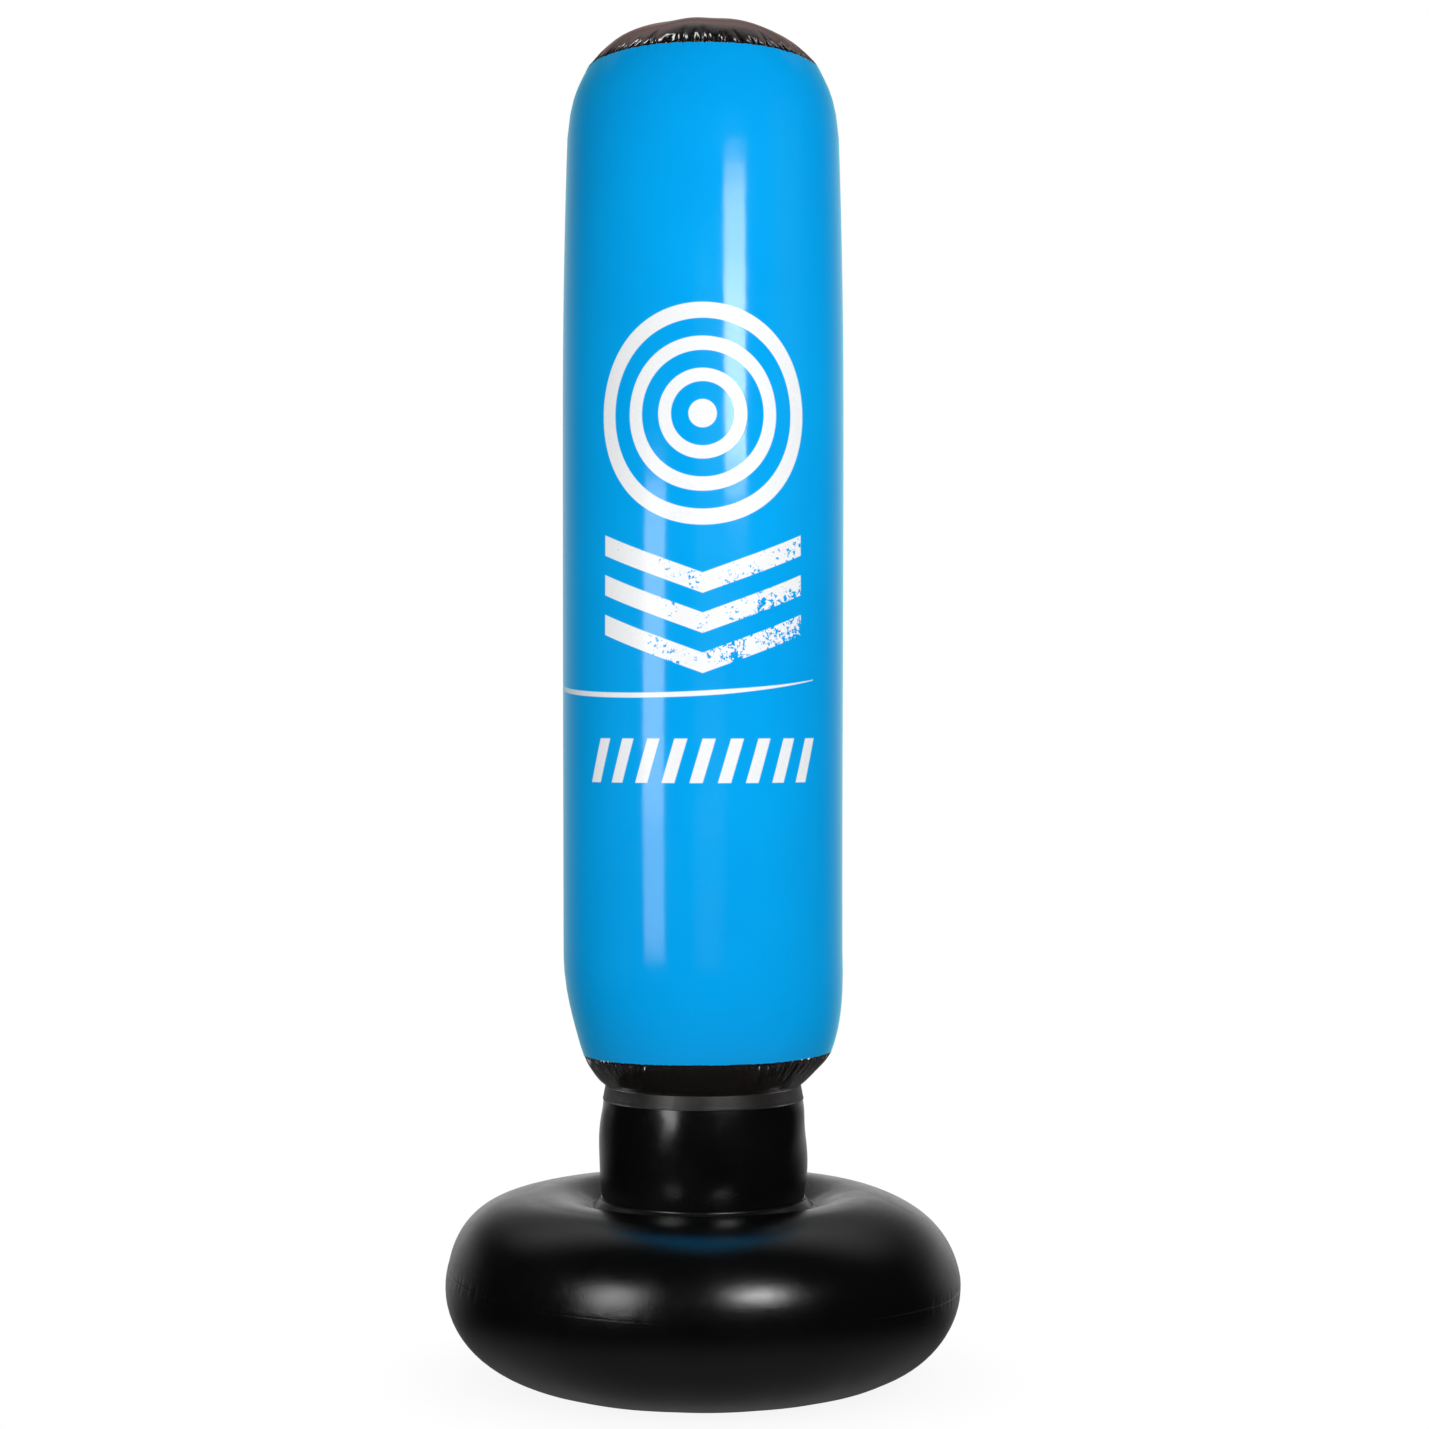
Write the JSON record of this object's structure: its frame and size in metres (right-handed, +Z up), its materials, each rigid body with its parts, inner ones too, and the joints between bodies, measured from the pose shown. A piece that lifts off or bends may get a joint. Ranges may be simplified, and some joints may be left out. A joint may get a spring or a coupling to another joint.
{
  "type": "free standing punching bag",
  "caption": "Inflatable free standing punching bag: tall blue air column with black gathered ends on a flexible black neck and a wide water-weighted ring base.",
  "frame": {"origin": "on the floor under the centre of the ring base", "axes": "+Z up along the column; the printed front faces -Y, and the valves and the water filler are on the +Y side"},
  "size_m": [0.604, 0.604, 1.6],
  "materials": {
    "blue_film": "gloss",
    "black_gloss_film": "gloss",
    "neck_film": "gloss",
    "black_satin_film": "satin",
    "water": "gloss",
    "fitting_pvc": "satin",
    "cap_plastic": "matte",
    "seal_rubber": "matte",
    "valve_pvc": "satin"
  },
  "bodies": {
    "base": {"base_top_panel": "black_satin_film", "base_bottom_panel": "black_satin_film", "base_core_tube": "black_satin_film", "water_ballast": "water", "neck_hem": "neck_film", "filler_flange": "fitting_pvc", "filler_spout": "fitting_pvc", "filler_leash_strap": "fitting_pvc", "base_valve_flange": "valve_pvc"},
    "neck": {"neck_sleeve": "neck_film"},
    "column": {"column_sleeve": "blue_film", "top_cap": "black_gloss_film", "bottom_disc": "black_gloss_film", "column_valve_flange": "valve_pvc"},
    "filler_leash": {"filler_leash_ring": "fitting_pvc"},
    "filler_cap": {"filler_cap": "cap_plastic", "filler_gasket": "seal_rubber"},
    "column_valve": {"column_valve_stem": "valve_pvc", "column_valve_strap": "valve_pvc"},
    "column_stopper": {"column_valve_plug": "valve_pvc"},
    "column_flap": {"column_valve_flap": "valve_pvc"},
    "base_valve": {"base_valve_stem": "valve_pvc", "base_valve_strap": "valve_pvc"},
    "base_stopper": {"base_valve_plug": "valve_pvc"},
    "base_flap": {"base_valve_flap": "valve_pvc"}
  },
  "joints": [
    {"name": "neck_side_sway", "type": "hinge", "parent": "base", "child": "neck", "pos_m": [0, 0, 0.24], "axis": [0, 1, 0], "range_deg": [-15, 15], "stiffness_Nm_per_rad": 60, "deforming": ["neck_sleeve"]},
    {"name": "column_front_sway", "type": "hinge", "parent": "neck", "child": "column", "pos_m": [0, 0, 0.297], "axis": [1, 0, 0], "range_deg": [-15, 15], "stiffness_Nm_per_rad": 60, "deforming": ["neck_sleeve"]},
    {"name": "filler_cap_lift", "type": "slide", "parent": "base", "child": "filler_leash", "axis": [0, 0, 1], "range_m": [0, 0.012], "deforming": ["filler_leash_strap"]},
    {"name": "filler_cap_turn", "type": "hinge", "parent": "filler_leash", "child": "filler_cap", "pos_m": [-0.05333, 0.17443, 0.2157], "axis": [0, 0, 1], "range_deg": [0, 1440]},
    {"name": "column_valve_pull_out", "type": "slide", "parent": "column", "child": "column_valve", "axis": [0, 1, 0], "range_m": [0, 0.012]},
    {"name": "column_stopper_pull", "type": "slide", "parent": "column_valve", "child": "column_stopper", "axis": [0, 1, 0], "range_m": [0, 0.012], "deforming": ["column_valve_strap"]},
    {"name": "column_flap_open", "type": "hinge", "parent": "column_valve", "child": "column_flap", "pos_m": [0.0062, 0.1487, 0.52], "axis": [0, 0, 1], "range_deg": [0, 40], "stiffness_Nm_per_rad": 0.002},
    {"name": "base_valve_pull_out", "type": "slide", "parent": "base", "child": "base_valve", "axis": [0, 0, 1], "range_m": [0, 0.012]},
    {"name": "base_stopper_pull", "type": "slide", "parent": "base_valve", "child": "base_stopper", "axis": [0, 0, 1], "range_m": [0, 0.012], "deforming": ["base_valve_strap"]},
    {"name": "base_flap_open", "type": "hinge", "parent": "base_valve", "child": "base_flap", "pos_m": [0.05514, 0.18036, 0.2004], "axis": [0.9563, -0.2924, 0], "range_deg": [0, 40], "stiffness_Nm_per_rad": 0.002}
  ],
  "couplings": [
    {"joint": "filler_cap_lift", "follows": "filler_cap_turn", "m_per_rad": 0.00047746}
  ]
}
